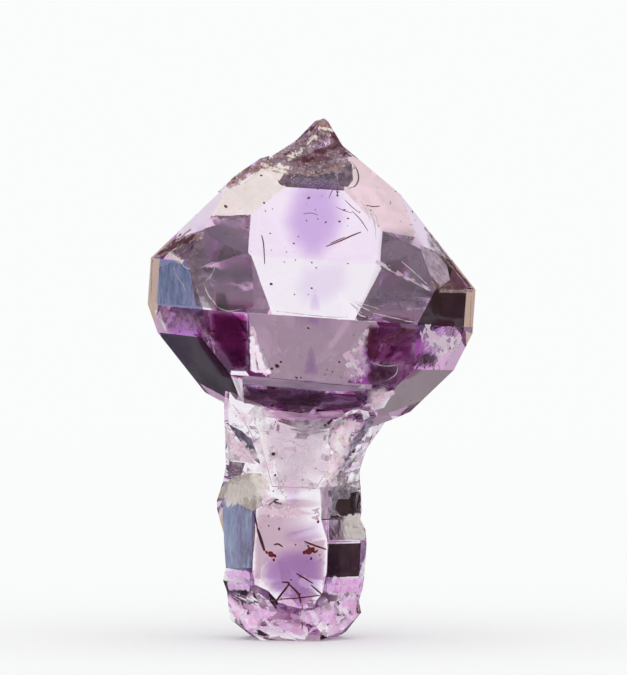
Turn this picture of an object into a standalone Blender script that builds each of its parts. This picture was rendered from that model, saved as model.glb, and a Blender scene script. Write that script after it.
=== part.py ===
"""Amethyst scepter: a wide quartz head grown over a thinner hexagonal stem, one solid crystal.

The crystal is worked out in its own frame, in millimetres. There +Z runs up the crystal's long axis, +X to
its right, +Y to its back, and the origin is the point where the head's upper faces would meet. The finished
crystal leans a little to its right and rests on a flat cut at its foot, at z = 0 of the world.
"""

import math
import random

import bmesh
import bpy
from mathutils import Matrix, Vector

MM = 0.001

# Driving dimensions, in millimetres and degrees
LEAN = 4.0
APEX_ABOVE_CUT = 37.45
FACE_TILT = 38.2          # the rhombohedral faces' normals stand this far above or below the level
BLOCK = 60.0              # the block that each crystal is cut from
WELD_DISTANCE = 0.004     # corners closer than this are made one

# The head: azimuth of each face to its distance from the origin; azimuth 0 faces the front, 90 the right
HEAD_PRISM = {0: 6.85, 60: 9.96, 120: 9.96, 180: 11.42, -120: 9.47, -60: 9.47}
HEAD_TOP = {0: -4.0, 60: 0.0, 120: 0.0, 180: 3.1, -120: 0.0, -60: 0.0}
HEAD_BOTTOM = {0: 17.41, 60: 19.1, 120: 17.53, 180: 18.53, -120: 16.85, -60: 18.0}
UNDERSIDE_TILT = -65.0
UNDERSIDE = {-90: 21.75, -30: 21.9, 30: 22.3, 90: 22.5, 150: 22.7, -150: 22.4}

# Where the lower growth of the head runs down the front of the neck: azimuth, tilt, distance
TONGUE = [
    (0, -3.5, 6.05),
    (-74, -19.0, 11.25),
    (72, -29.5, 15.6),
    (4, -70.0, 26.75),
    (180, 0.0, 1.0),
    (0, 90.0, -19.0),
]

# A raised shelf along the top left edge
SHELF = [
    (-60, FACE_TILT, 0.08),
    (-120, FACE_TILT, 0.08),
    (-30, 76.0, -4.24),
    (28, -2.9, -2.3),
    (90, 0.0, -3.3),
    (180, 0.0, 2.5),
    (0, -90.0, 7.2),
]

# The small crystal on the tip: its apex, and each face's azimuth and tilt
TIP_APEX = Vector((0.16, 2.85, -1.2))
TIP_FACES = [(-7, 25.2), (14, 19.4), (-106, 40.0), (108, 31.0), (180, 35.0)]
TIP_CHIPS = [(-90, 69.0, -0.42), (40, 62.0, -0.4), (-50, 30.0, -0.12)]
TIP_DEPTH = 4.9

# Neck and stem, top to bottom: height, left corner, left and right edges of the front face, right corner,
# front face, back face
STEM_SECTIONS = [
    (-19.4, -5.15, -4.85, 3.2, 5.1, -4.9, 5.6),
    (-21.9, -5.15, -4.85, 3.25, 5.1, -4.85, 5.5),
    (-22.9, -5.05, -4.75, 3.35, 5.05, -4.7, 5.2),
    (-23.6, -4.95, -4.65, 3.4, 4.9, -4.55, 4.9),
    (-24.9, -4.85, -4.5, 2.95, 4.55, -4.35, 4.65),
    (-25.7, -4.75, -4.45, 2.5, 4.4, -4.3, 4.6),
    (-27.0, -4.9, -2.6, 2.0, 4.6, -4.25, 4.5),
    (-28.4, -5.25, -2.5, 2.0, 4.75, -4.2, 4.4),
    (-29.0, -5.2, -2.5, 2.0, 4.7, -4.2, 4.4),
    (-29.7, -4.95, -2.5, 2.25, 5.1, -4.2, 4.4),
    (-30.6, -4.6, -2.5, 2.6, 5.25, -4.2, 4.4),
    (-31.5, -4.5, -2.5, 2.6, 5.25, -4.2, 4.4),
    (-32.9, -4.3, -2.45, 2.65, 5.25, -4.2, 4.4),
    (-33.8, -4.45, -2.2, 2.45, 5.2, -4.15, 4.4),
    (-34.6, -4.1, -2.0, 2.3, 5.0, -4.1, 4.4),
    (-35.6, -3.95, -1.55, 2.5, 5.25, -4.1, 4.4),
    (-40.0, -3.7, -1.5, 2.6, 5.5, -4.1, 4.4),
]

# The slanting breaks of the foot: azimuth, tilt, distance
FOOT_BREAKS = [
    (180, -24.0, 17.6),
    (-142, -20.0, 16.1),
    (143, -22.0, 17.35),
    (-6, -38.0, 24.75),
    (-80, -57.0, 32.6),
    (80, -35.0, 24.45),
    (75, -60.0, 33.85),
]

# Rounded shells broken out of the foot's rim and out of the side of the neck. Each group has a number of
# shells, the ranges of their radius and of how deep they bite, their range of azimuths and of heights, and
# the radius and centre of the surface that they bite into.
SHELL_SEED = 46
SHELL_GROUPS = {
    "foot": {
        "number": 11, "radius": (2.8, 6.0), "bite": (0.15, 0.35), "azimuth": (0.0, 330.0),
        "height": (-38.4, -37.0), "reach": 4.05, "centre": (0.5, 0.1),
    },
    "front": {
        "number": 6, "radius": (2.2, 4.0), "bite": (0.1, 0.2), "azimuth": (-44.0, 50.0),
        "height": (-37.4, -36.3), "reach": 3.7, "centre": (0.5, 0.1),
    },
    "neck": {
        "number": 14, "radius": (0.8, 2.0), "bite": (0.06, 0.14), "azimuth": (30.0, 58.0),
        "height": (-26.8, -22.9), "reach": 5.05, "centre": (0.0, 0.1),
    },
    "stem": {
        "number": 6, "radius": (0.5, 1.2), "bite": (0.12, 0.25), "azimuth": (50.0, 84.0),
        "height": (-29.8, -26.6), "reach": 4.5, "centre": (0.3, 0.1),
    },
}

AMETHYST = (0.72, 0.58, 0.84, 1.0)


def face_normal(azimuth, tilt):
    """The outward normal of a face that looks towards azimuth and up by tilt."""
    level = math.cos(math.radians(tilt))
    turn = math.radians(azimuth)
    return Vector((level * math.sin(turn), -level * math.cos(turn), math.sin(math.radians(tilt))))


def new_object(name, shape, material=None):
    """A named object from a bmesh, which it frees."""
    mesh = bpy.data.meshes.new(name)
    shape.to_mesh(mesh)
    shape.free()
    body = bpy.data.objects.new(name, mesh)
    if material is not None:
        mesh.materials.append(material)
    bpy.context.collection.objects.link(body)
    return body


def cut_faces(shape, faces):
    """Cuts off everything outside each (azimuth, tilt, distance) face, and closes the cuts."""
    for azimuth, tilt, distance in faces:
        normal = face_normal(azimuth, tilt)
        cut = bmesh.ops.bisect_plane(
            shape,
            geom=shape.verts[:] + shape.edges[:] + shape.faces[:],
            dist=1e-7,
            plane_co=normal * distance * MM,
            plane_no=normal,
            clear_outer=True,
        )
        rim = [part for part in cut["geom_cut"] if isinstance(part, bmesh.types.BMEdge)]
        bmesh.ops.edgenet_fill(shape, edges=rim)
    bmesh.ops.recalc_face_normals(shape, faces=shape.faces[:])


def cut_block(faces):
    """A closed convex body: a block cut down to the given faces."""
    shape = bmesh.new()
    bmesh.ops.create_cube(shape, size=2.0 * BLOCK * MM)
    cut_faces(shape, faces)
    return shape


def head_faces():
    """The head's prism faces, its upper and lower points, and its blunt underside."""
    faces = [(azimuth, 0.0, distance) for azimuth, distance in HEAD_PRISM.items()]
    faces += [(azimuth, FACE_TILT, distance) for azimuth, distance in HEAD_TOP.items()]
    faces += [(azimuth, -FACE_TILT, distance) for azimuth, distance in HEAD_BOTTOM.items()]
    faces += [(azimuth, UNDERSIDE_TILT, distance) for azimuth, distance in UNDERSIDE.items()]
    return faces


def tip_faces():
    """The tip crystal's faces all pass through its apex, except its chips and its hidden foot."""
    faces = [(azimuth, tilt, face_normal(azimuth, tilt).dot(TIP_APEX)) for azimuth, tilt in TIP_FACES]
    faces += [
        (azimuth, tilt, face_normal(azimuth, tilt).dot(TIP_APEX) + inset)
        for azimuth, tilt, inset in TIP_CHIPS
    ]
    faces.append((0, -90.0, TIP_DEPTH - TIP_APEX.z))
    return faces


def stem_ring(shape, height, left, front_left, front_right, right, front, back):
    """One hexagonal section of the neck or stem, as a ring of vertices from the left corner round the front."""
    slant = math.tan(math.radians(60.0))
    left_depth = front + slant * (front_left - left)
    right_depth = front + slant * (right - front_right)
    corners = [
        (left, left_depth),
        (front_left, front),
        (front_right, front),
        (right, right_depth),
        (front_right, back),
        (front_left, back),
    ]
    return [shape.verts.new(Vector((x, y, height)) * MM) for x, y in corners]


def stem_shape():
    """Neck and stem: hexagonal sections joined by flat triangles, closed at both ends."""
    shape = bmesh.new()
    rings = [stem_ring(shape, *section) for section in STEM_SECTIONS]
    shape.faces.new(rings[0])
    shape.faces.new(rings[-1])
    for upper, lower in zip(rings, rings[1:]):
        for i in range(len(upper)):
            j = (i + 1) % len(upper)
            shape.faces.new((upper[i], lower[i], lower[j]))
            shape.faces.new((upper[i], lower[j], upper[j]))
    cut_faces(shape, FOOT_BREAKS)
    return shape


def shells(name, group):
    """One rounded cutter for each shell of a group, spread evenly and then shifted a little by chance."""
    chance = random.Random(SHELL_SEED)
    first, last = group["azimuth"]
    spacing = (last - first) / (group["number"] - 1)
    centre_x, centre_y = group["centre"]
    cutters = []
    for i in range(group["number"]):
        turn = math.radians(first + spacing * (i + chance.uniform(-0.3, 0.3)))
        radius = chance.uniform(*group["radius"])
        reach = group["reach"] + radius - chance.uniform(*group["bite"])
        centre = Vector((
            centre_x + reach * math.sin(turn),
            centre_y - reach * math.cos(turn),
            chance.uniform(*group["height"]),
        ))
        shape = bmesh.new()
        bmesh.ops.create_icosphere(shape, subdivisions=3, radius=radius * MM)
        bmesh.ops.translate(shape, vec=centre * MM, verts=shape.verts[:])
        cutters.append(new_object(f"{name}_shell_{i:02d}", shape))
    return cutters


def join_or_cut(body, tool, operation):
    """Adds the boolean of body with tool, and keeps tool out of the finished model."""
    step = body.modifiers.new(f"{operation.lower()}_{tool.name}", "BOOLEAN")
    step.operation = operation
    step.solver = "EXACT"
    step.object = tool
    tool.hide_render = True
    tool.display_type = "WIRE"


def crystal_material():
    """Pale violet, clear quartz."""
    material = bpy.data.materials.new("amethyst")
    material.use_nodes = True
    shader = material.node_tree.nodes["Principled BSDF"]
    shader.inputs["Base Color"].default_value = AMETHYST
    shader.inputs["Roughness"].default_value = 0.05
    shader.inputs["Metallic"].default_value = 0.0
    shader.inputs["IOR"].default_value = 1.544
    shader.inputs["Transmission Weight"].default_value = 1.0
    return material


def rest_cut():
    """Everything below the world's level plane, which the foot is cut off at."""
    shape = bmesh.new()
    bmesh.ops.create_cube(shape, size=BLOCK * MM)
    bmesh.ops.translate(shape, vec=Vector((0.0, 0.0, -0.5 * BLOCK * MM)), verts=shape.verts[:])
    return new_object("rest_cut", shape)


def centre_on_origin(body, axis_frame):
    """Moves the leaning frame sideways, so that the finished crystal's box is centred on the origin."""
    bpy.context.view_layer.update()
    finished = body.evaluated_get(bpy.context.evaluated_depsgraph_get())
    points = [finished.matrix_world @ vertex.co for vertex in finished.data.vertices]
    for axis in (0, 1):
        low = min(point[axis] for point in points)
        high = max(point[axis] for point in points)
        axis_frame.location[axis] -= 0.5 * (low + high)
    bpy.context.view_layer.update()


def main():
    for old in list(bpy.data.objects):
        bpy.data.objects.remove(old)

    axis_frame = bpy.data.objects.new("crystal_axis", None)
    axis_frame.matrix_world = (
        Matrix.Translation((0.0, 0.0, APEX_ABOVE_CUT * MM))
        @ Matrix.Rotation(math.radians(LEAN), 4, "Y")
    )
    bpy.context.collection.objects.link(axis_frame)

    crystal = new_object("scepter_crystal", cut_block(head_faces()), crystal_material())
    stem = new_object("stem_growth", stem_shape())
    tongue = new_object("tongue_growth", cut_block(TONGUE))
    shelf = new_object("shelf_growth", cut_block(SHELF))
    tip = new_object("tip_growth", cut_block(tip_faces()))
    broken = [shell for name, group in SHELL_GROUPS.items() for shell in shells(name, group)]
    for shape in [crystal, stem, tongue, shelf, tip] + broken:
        shape.parent = axis_frame

    for grown in (stem, tongue, shelf, tip):
        join_or_cut(crystal, grown, "UNION")
    for shell in broken:
        join_or_cut(crystal, shell, "DIFFERENCE")
    join_or_cut(crystal, rest_cut(), "DIFFERENCE")
    weld = crystal.modifiers.new("weld", "WELD")
    weld.merge_threshold = WELD_DISTANCE * MM
    centre_on_origin(crystal, axis_frame)


main()
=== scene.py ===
"""Looks of the amethyst scepter: its clear quartz, colour zones, inclusions, floor, light and camera."""

import math
import random

import bpy
import bmesh
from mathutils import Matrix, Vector
from mathutils.bvhtree import BVHTree
from mathutils.geometry import delaunay_2d_cdt


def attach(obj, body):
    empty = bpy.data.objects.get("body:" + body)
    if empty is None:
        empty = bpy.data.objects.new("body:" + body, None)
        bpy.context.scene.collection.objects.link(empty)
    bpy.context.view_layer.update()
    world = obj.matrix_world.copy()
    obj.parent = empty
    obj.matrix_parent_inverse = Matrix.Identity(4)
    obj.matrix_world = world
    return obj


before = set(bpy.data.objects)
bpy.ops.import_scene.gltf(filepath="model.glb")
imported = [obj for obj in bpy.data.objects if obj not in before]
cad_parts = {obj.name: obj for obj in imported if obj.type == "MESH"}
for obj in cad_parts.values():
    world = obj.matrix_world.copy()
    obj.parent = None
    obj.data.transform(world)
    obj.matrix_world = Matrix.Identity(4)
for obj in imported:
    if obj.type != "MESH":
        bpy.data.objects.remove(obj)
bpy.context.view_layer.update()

MM = 0.001
NODE = "scepter_crystal"
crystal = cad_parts[NODE]

# The photograph's frame, in pixels, and the camera that takes it
PHOTO_WIDTH = 627
PHOTO_HEIGHT = 675
SENSOR = 36.0
LENS = 347.0
CAMERA_DISTANCE = 0.45
CAMERA_RISE = math.radians(1.5)
TARGET = Vector((0.13 * MM, 0.0, 20.67 * MM))
FORWARD = Vector((0.0, math.cos(CAMERA_RISE), -math.sin(CAMERA_RISE)))
EYE = TARGET - CAMERA_DISTANCE * FORWARD
QUARTZ_IOR = 1.544

# A pixel of the photograph, as a length on the crystal
PIXEL = 0.0692 * MM


def srgb(red, green, blue):
    """A linear colour from 0 to 255 display values."""
    return tuple(
        value / 12.92 if value <= 0.04045 else ((value + 0.055) / 1.055) ** 2.4
        for value in (red / 255.0, green / 255.0, blue / 255.0)
    )


def add_camera():
    """A long lens a little above level, straight in front of the crystal."""
    lens = bpy.data.cameras.new("camera")
    lens.lens = LENS
    lens.sensor_width = SENSOR
    lens.clip_start = 0.01
    lens.clip_end = 20.0
    camera = bpy.data.objects.new("camera", lens)
    bpy.context.collection.objects.link(camera)
    camera.location = EYE
    camera.rotation_euler = FORWARD.to_track_quat("-Z", "Y").to_euler()
    bpy.context.scene.camera = camera


class Nodes:
    """Short calls for making the nodes of a material or of the world."""

    def __init__(self, tree):
        self.tree = tree

    def add(self, kind, **settings):
        node = self.tree.nodes.new(kind)
        for name, value in settings.items():
            setattr(node, name, value)
        return node

    def put(self, value, socket):
        """Links value to the socket, or writes it there if it is a plain number or colour."""
        if isinstance(value, (int, float)):
            socket.default_value = value
        elif isinstance(value, tuple):
            wide = len(socket.default_value) == 4 and len(value) == 3
            socket.default_value = (*value, 1.0) if wide else value
        else:
            self.tree.links.new(value, socket)

    def math(self, operation, *values, clamp=False):
        node = self.add("ShaderNodeMath", operation=operation, use_clamp=clamp)
        for socket, value in zip(node.inputs, values):
            self.put(value, socket)
        return node.outputs[0]

    def vector(self, operation, *values, out=0):
        node = self.add("ShaderNodeVectorMath", operation=operation)
        for socket, value in zip(node.inputs, values):
            self.put(value, socket)
        return node.outputs[out]

    def scaled(self, vector, size):
        node = self.add("ShaderNodeVectorMath", operation="SCALE")
        self.put(vector, node.inputs[0])
        self.put(size, node.inputs["Scale"])
        return node.outputs[0]

    def mix(self, factor, first, second, blend="MIX"):
        node = self.add("ShaderNodeMix", data_type="RGBA", blend_type=blend)
        self.put(factor, node.inputs["Factor"])
        self.put(first, node.inputs["A"])
        self.put(second, node.inputs["B"])
        return node.outputs["Result"]

    def fade(self, value, start, stop, low=0.0, high=1.0):
        """A smooth step from low at start to high at stop."""
        node = self.add("ShaderNodeMapRange", interpolation_type="SMOOTHSTEP")
        for name, number in (("From Min", start), ("From Max", stop), ("To Min", low), ("To Max", high)):
            node.inputs[name].default_value = number
        self.put(value, node.inputs["Value"])
        return node.outputs["Result"]

    def noise(self, where, size, detail=3.0, rough=0.55, twist=0.0):
        """Noise with features about size metres across."""
        node = self.add("ShaderNodeTexNoise")
        self.put(where, node.inputs["Vector"])
        node.inputs["Scale"].default_value = 1.0 / size
        node.inputs["Detail"].default_value = detail
        node.inputs["Roughness"].default_value = rough
        node.inputs["Distortion"].default_value = twist
        return node.outputs["Fac"]

    def cells(self, where, size):
        """Cells about size metres across, each with its own point and random colour."""
        node = self.add("ShaderNodeTexVoronoi")
        self.put(where, node.inputs["Vector"])
        node.inputs["Scale"].default_value = 1.0 / size
        return node

    def parts(self, vector):
        """The three parts of a vector."""
        node = self.add("ShaderNodeSeparateXYZ")
        self.put(vector, node.inputs[0])
        return node.outputs[0], node.outputs[1], node.outputs[2]

    def level(self, name):
        """The grey level that a mesh's corners have under this name."""
        return self.add("ShaderNodeVertexColor", layer_name=name).outputs["Color"]

    def stretched(self, where, x, y, z):
        return self.vector("MULTIPLY", where, (x, y, z))

    def place(self):
        return self.add("ShaderNodeTexCoord").outputs["Object"]


# What surrounds the crystal. The camera, and all that is matt, see only the plain pale cove. What shows
# through the crystal has softly edged cards in front of the cove: each has ranges of azimuth (0 behind the
# crystal, 90 to its right) and of height above the level, in degrees, how softly it ends, and its colour.
COVE = srgb(251, 252, 252)
CARDS = [
    ("below", (-180, 180), (-90, -12), 4, (248, 240, 250)),
    ("cream_side", (40, 140), (-90, -40), 8, (255, 250, 236)),
    ("beige_side", (-140, -40), (-90, -40), 8, (246, 226, 224)),
    ("left_flag", (-52, -28), (-11, 6.5), 1.5, (46, 30, 28)),
    ("right_flag", (26, 50), (-8, 5), 1, (134, 142, 172)),
    ("right_low", (26, 50), (-14, -8), 1, (170, 142, 160)),
    ("right_high", (26, 62), (17, 40), 2, (44, 42, 46)),
    ("left_high", (-50, -22), (18, 40), 4, (152, 143, 142)),
    ("back_high", (-22, 22), (24, 37), 2, (176, 158, 168)),
    ("back_level", (-22, 22), (17, 24), 2, (162, 138, 158)),
    ("back_top", (-30, 30), (46, 64), 2, (168, 148, 160)),
]

# Cards that show only in light that was reflected inside the crystal once, and those for twice or more
ONCE_CARDS = [
    ("left_rim", (54, 68), (-14, 12), 1.5, (206, 188, 168)),
    ("right_rim", (-68, -54), (-14, 12), 1.5, (208, 184, 162)),
]
TWICE_CARDS = [
    ("sides", (-142, 142), (-90, 90), 6, (244, 214, 236)),
    ("right_low_block", (-132, -104), (10, 29), 2, (84, 26, 66)),
    ("right_edge", (-136, -112), (29, 40), 2, (96, 66, 70)),
    ("right_back", (137, 158), (-12, 15), 2, (232, 222, 228)),
    ("left_back", (-158, -137), (-12, 15), 2, (232, 222, 228)),
]

# What the crystal mirrors from its outside, apart from the pale cove overhead: from and up to which heights
# that is, and how softly it ends, in degrees
ROOM = srgb(70, 62, 70)
OVERHEAD = (50.0, 90.0, 8.0)

# Light that was reflected inside the crystal more than once comes out darker, by the height it comes from
INNER = [
    (-64, (240, 204, 228)), (-56, (180, 136, 168)), (-46, (144, 114, 132)), (-41.6, (140, 114, 130)),
    (-40.7, (78, 18, 60)), (-34, (78, 18, 60)), (-26, (140, 116, 130)), (-14, (122, 98, 114)),
    (-6, (88, 58, 80)), (4, (104, 86, 100)), (14, (124, 104, 118)), (42, (128, 106, 120)),
    (54, (220, 194, 214)),
]


def inside(nodes, value, low, high, soft):
    """1 from low to high, falling to 0 over soft on each side."""
    rising = nodes.fade(value, low - soft, low + soft)
    falling = nodes.fade(value, high + soft, high - soft)
    return nodes.math("MULTIPLY", rising, falling)


def behind_cards(nodes, azimuth, rise, colour, cards):
    """A colour with cards in front of it."""
    for name, turn, heights, soft, shade in cards:
        half = 0.5 * (turn[1] - turn[0])
        level = inside(nodes, rise, heights[0], heights[1], soft)
        if half < 180.0:
            off = nodes.math("SUBTRACT", azimuth, 0.5 * (turn[0] + turn[1]))
            off = nodes.math("WRAP", off, 180.0, -180.0)
            level = nodes.math("MULTIPLY", level, inside(nodes, off, -half, half, soft))
        colour = nodes.mix(level, colour, srgb(*shade))
    return colour


def inner_colours(nodes, rise):
    """The darker colours of light that was reflected inside."""
    ramp = nodes.add("ShaderNodeValToRGB")
    stops = ramp.color_ramp.elements
    for number, (height, shade) in enumerate(INNER):
        place = (height + 90.0) / 180.0
        stop = stops[number] if number < 2 else stops.new(place)
        stop.position = place
        stop.color = (*srgb(*shade), 1.0)
    nodes.put(nodes.math("DIVIDE", nodes.math("ADD", rise, 90.0), 180.0), ramp.inputs[0])
    return ramp.outputs[0]


def add_world():
    """The pale cove with its cards, which is darker for light that was reflected inside the crystal."""
    world = bpy.data.worlds.new("cove")
    bpy.context.scene.world = world
    world.use_nodes = True
    world.node_tree.nodes.clear()
    nodes = Nodes(world.node_tree)
    x, y, z = nodes.parts(nodes.add("ShaderNodeTexCoord").outputs["Generated"])
    azimuth = nodes.math("DEGREES", nodes.math("ARCTAN2", x, y))
    rise = nodes.math("DEGREES", nodes.math("ARCSINE", z))
    ray = nodes.add("ShaderNodeLightPath")
    outside = nodes.math("LESS_THAN", ray.outputs["Transmission Depth"], 0.5)
    once = nodes.math("GREATER_THAN", ray.outputs["Glossy Depth"], 0.5)
    twice = nodes.math("GREATER_THAN", ray.outputs["Glossy Depth"], 1.5)
    matt = nodes.math("GREATER_THAN", ray.outputs["Diffuse Depth"], 0.5)
    plain = nodes.math("MAXIMUM", ray.outputs["Is Camera Ray"], matt)
    colour = behind_cards(nodes, azimuth, rise, COVE, CARDS)
    colour = nodes.mix(once, colour, behind_cards(nodes, azimuth, rise, colour, ONCE_CARDS))
    darker = behind_cards(nodes, azimuth, rise, inner_colours(nodes, rise), TWICE_CARDS)
    colour = nodes.mix(twice, colour, darker)
    colour = nodes.mix(outside, colour, nodes.mix(inside(nodes, rise, *OVERHEAD), ROOM, COVE))
    colour = nodes.mix(plain, colour, COVE)
    lit = nodes.add("ShaderNodeBackground")
    nodes.put(colour, lit.inputs["Color"])
    nodes.put(lit.outputs[0], nodes.add("ShaderNodeOutputWorld").inputs["Surface"])
    world.cycles.sampling_method = "NONE"


# The floor, in metres: its radius, and from where to where it fades out
FLOOR_RADIUS = 0.6
FLOOR_FADE = (0.03, 0.4)


def add_floor():
    """A pale round floor that fades out, so that it has no edge against the cove."""
    shape = bmesh.new()
    bmesh.ops.create_circle(shape, cap_ends=True, segments=96, radius=FLOOR_RADIUS)
    mesh = bpy.data.meshes.new("floor")
    shape.to_mesh(mesh)
    shape.free()
    floor = bpy.data.objects.new("floor", mesh)
    bpy.context.collection.objects.link(floor)
    material, nodes, shader = new_material("floor")
    set_inputs(shader, Base_Color=(0.99, 0.99, 0.99, 1.0), Roughness=0.9, Specular_IOR_Level=0.0)
    length = nodes.vector("LENGTH", nodes.place(), out="Value")
    nodes.put(nodes.fade(length, *FLOOR_FADE, 1.0, 0.0), shader.inputs["Alpha"])
    mesh.materials.append(material)
    floor.visible_transmission = False
    floor.visible_glossy = False


def set_look():
    """Plain colours, and enough bounces for light to find its way through the crystal."""
    scene = bpy.context.scene
    scene.view_settings.view_transform = "Standard"
    scene.cycles.max_bounces = 40
    scene.cycles.transmission_bounces = 40
    scene.cycles.glossy_bounces = 40
    scene.cycles.transparent_max_bounces = 32


# Placing things by a pixel of the photograph: on the crystal, or inside it along the bent line of sight
def surface_tree():
    """The crystal's surface, ready to be looked up."""
    depsgraph = bpy.context.evaluated_depsgraph_get()
    return BVHTree.FromObject(crystal, depsgraph)


SURFACE = surface_tree()
RIGHT = FORWARD.cross(Vector((0.0, 0.0, 1.0))).normalized()
UP = RIGHT.cross(FORWARD)


def sight(x, y):
    """The direction from the camera through a pixel of the photograph."""
    across = (x - 0.5 * PHOTO_WIDTH) / PHOTO_HEIGHT * SENSOR / LENS
    high = (0.5 * PHOTO_HEIGHT - y) / PHOTO_HEIGHT * SENSOR / LENS
    return (FORWARD + across * RIGHT + high * UP).normalized()


def bent(direction, normal, ratio):
    """A direction after it passes through a surface."""
    facing = -direction.dot(normal)
    along = ratio * (direction + facing * normal)
    return along - normal * math.sqrt(max(0.0, 1.0 - along.length_squared))


def look(x, y):
    """The point and normal of the crystal at a pixel, and the line of sight inside it, or nothing."""
    way = sight(x, y)
    point, normal = SURFACE.ray_cast(EYE, way)[:2]
    if point is None:
        return None
    if normal.dot(way) > 0.0:
        normal = -normal
    return point, normal, bent(way, normal, 1.0 / QUARTZ_IOR)


# A pixel just outside the crystal is moved onto it in so many steps of so many pixels. What is placed
# inside lies no deeper than this share of the crystal's depth there.
RIM_STEPS = 8
RIM_STEP = 1.5
DEEPEST = 0.9


def within(x, y, depth):
    """A point depth millimetres into the crystal, as seen at a pixel. It stays inside the crystal, and a
    pixel just outside it is moved onto it."""
    side = 1.0 if x < 0.5 * PHOTO_WIDTH else -1.0
    found = None
    for step in range(RIM_STEPS):
        found = found or look(x + RIM_STEP * step * side, y)
    if found is None:
        return None
    point, normal, way = found
    far = SURFACE.ray_cast(point + way * 0.01 * MM, way)
    room = far[3] if far[0] is not None else depth * MM
    return point + way * min(depth * MM, DEEPEST * room)


def new_material(name):
    """A material with a Principled shader, and its nodes."""
    material = bpy.data.materials.new(name)
    material.use_nodes = True
    nodes = Nodes(material.node_tree)
    return material, nodes, material.node_tree.nodes["Principled BSDF"]


def set_inputs(shader, **values):
    """Writes plain values to a shader's own sockets, named with _ for each space."""
    for name, value in values.items():
        shader.inputs[name.replace("_", " ")].default_value = value


def new_piece(name, shape, material, smooth=False):
    """A named piece of the crystal from a bmesh, which it frees."""
    mesh = bpy.data.meshes.new(name)
    shape.to_mesh(mesh)
    shape.free()
    mesh.materials.append(material)
    if smooth:
        mesh.shade_smooth()
    piece = bpy.data.objects.new(name, mesh)
    bpy.context.collection.objects.link(piece)
    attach(piece, "root")
    return piece


# Points that fill an outline: how far apart their rows are, and how near the outline they come, both as
# shares of their spacing
ROW_APART = 0.87
RIM_GAP = 0.45


def filled(outline, spacing):
    """Points and triangles that fill an outline of pixels, about spacing apart."""
    points = []
    for (x0, y0), (x1, y1) in zip(outline, outline[1:] + outline[:1]):
        steps = max(1, round(math.hypot(x1 - x0, y1 - y0) / spacing))
        points += [(x0 + (x1 - x0) * i / steps, y0 + (y1 - y0) * i / steps) for i in range(steps)]
    rim = len(points)
    (left, right), (top, bottom) = limits(outline)
    row = 0
    y = top + 0.5 * spacing
    while y < bottom:
        x = left + (0.5 * spacing if row % 2 else 0.0)
        while x < right:
            if to_rim(outline, x, y) > RIM_GAP * spacing and covers(outline, x, y):
                points.append((x, y))
            x += spacing
        y += ROW_APART * spacing
        row += 1
    made = delaunay_2d_cdt([Vector(point) for point in points], [], [list(range(rim))], 1, 1e-4)
    return [tuple(point) for point in made[0]], [list(face) for face in made[2]]


def limits(outline):
    """The least and greatest x of an outline, and the least and greatest y."""
    xs, ys = zip(*outline)
    return (min(xs), max(xs)), (min(ys), max(ys))


def to_rim(outline, x, y):
    """How far a pixel is from the outline."""
    best = math.inf
    for (x0, y0), (x1, y1) in zip(outline, outline[1:] + outline[:1]):
        dx, dy = x1 - x0, y1 - y0
        part = ((x - x0) * dx + (y - y0) * dy) / (dx * dx + dy * dy)
        part = min(1.0, max(0.0, part))
        best = min(best, math.hypot(x - x0 - part * dx, y - y0 - part * dy))
    return best


def covers(outline, x, y):
    """Whether a pixel is inside the outline."""
    hit = False
    for (x0, y0), (x1, y1) in zip(outline, outline[1:] + outline[:1]):
        if (y0 > y) != (y1 > y) and x < (x1 - x0) * (y - y0) / (y1 - y0) + x0:
            hit = not hit
    return hit


def zone(name, outline, depth, thickness, soft, material, spacing=4.0):
    """A lens of deeper colour inside the crystal: an outline of pixels, how deep it lies and its thickness in
    millimetres, and over how many pixels it thins out towards its edge."""
    points, faces = filled(outline, spacing)
    shape = bmesh.new()
    near = []
    far = []
    for x, y in points:
        edge = to_rim(outline, x, y)
        swell = math.sin(0.5 * math.pi * min(1.0, edge / soft)) ** 1.5 if edge > 0.01 else 0.0
        half = 0.5 * thickness * swell
        near.append(shape.verts.new(within(x, y, depth - half)))
        far.append(near[-1] if half == 0.0 else shape.verts.new(within(x, y, depth + half)))
    for face in faces:
        if any(far[i] is not near[i] for i in face):
            shape.faces.new([near[i] for i in face])
            shape.faces.new([far[i] for i in reversed(face)])
    if shape.calc_volume(signed=True) < 0.0:
        bmesh.ops.reverse_faces(shape, faces=shape.faces[:])
    return new_piece(name, shape, material)


def fill_volume(material, nodes, colour, density):
    """Plain absorption inside a material."""
    absorb = nodes.add("ShaderNodeVolumeAbsorption")
    absorb.inputs["Color"].default_value = (*colour, 1.0)
    absorb.inputs["Density"].default_value = density
    nodes.put(absorb.outputs[0], material.node_tree.nodes["Material Output"].inputs["Volume"])


# How the quartz absorbs light all over: its colour, and the density in one over metres
QUARTZ_TINT = ((0.72, 0.42, 0.80), 16.0)

# Quartz relief, as the size of its features and their height, both in metres
WAVES = (2.6e-3, 10.0e-6)
HILLOCKS = (0.32e-3, 0.5e-6)
STRIAE = (0.16e-3, 0.6e-6)

# Broken growth at the foot, the neck and the tip: small flat facets, by their size in metres and steepest
# slope, and between which heights they are and how softly they end
BREAKS = {
    "foot": (1.5e-3, 0.22, (-1.0 * MM, 2.9 * MM), 0.4 * MM),
    "neck": (0.9e-3, 0.17, (11.0 * MM, 15.0 * MM), 0.6 * MM),
    "tip": (0.9e-3, 0.26, (33.2 * MM, 37.0 * MM), 0.4 * MM),
}

# The neck's smooth front face, free of frost and breaks: left and right ends, and how far back it reaches
CLEAR_FRONT = (-2.5 * MM, 1.8 * MM, -2.6 * MM)
CLEAR_FRONT_SOFT = 0.15 * MM

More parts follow.
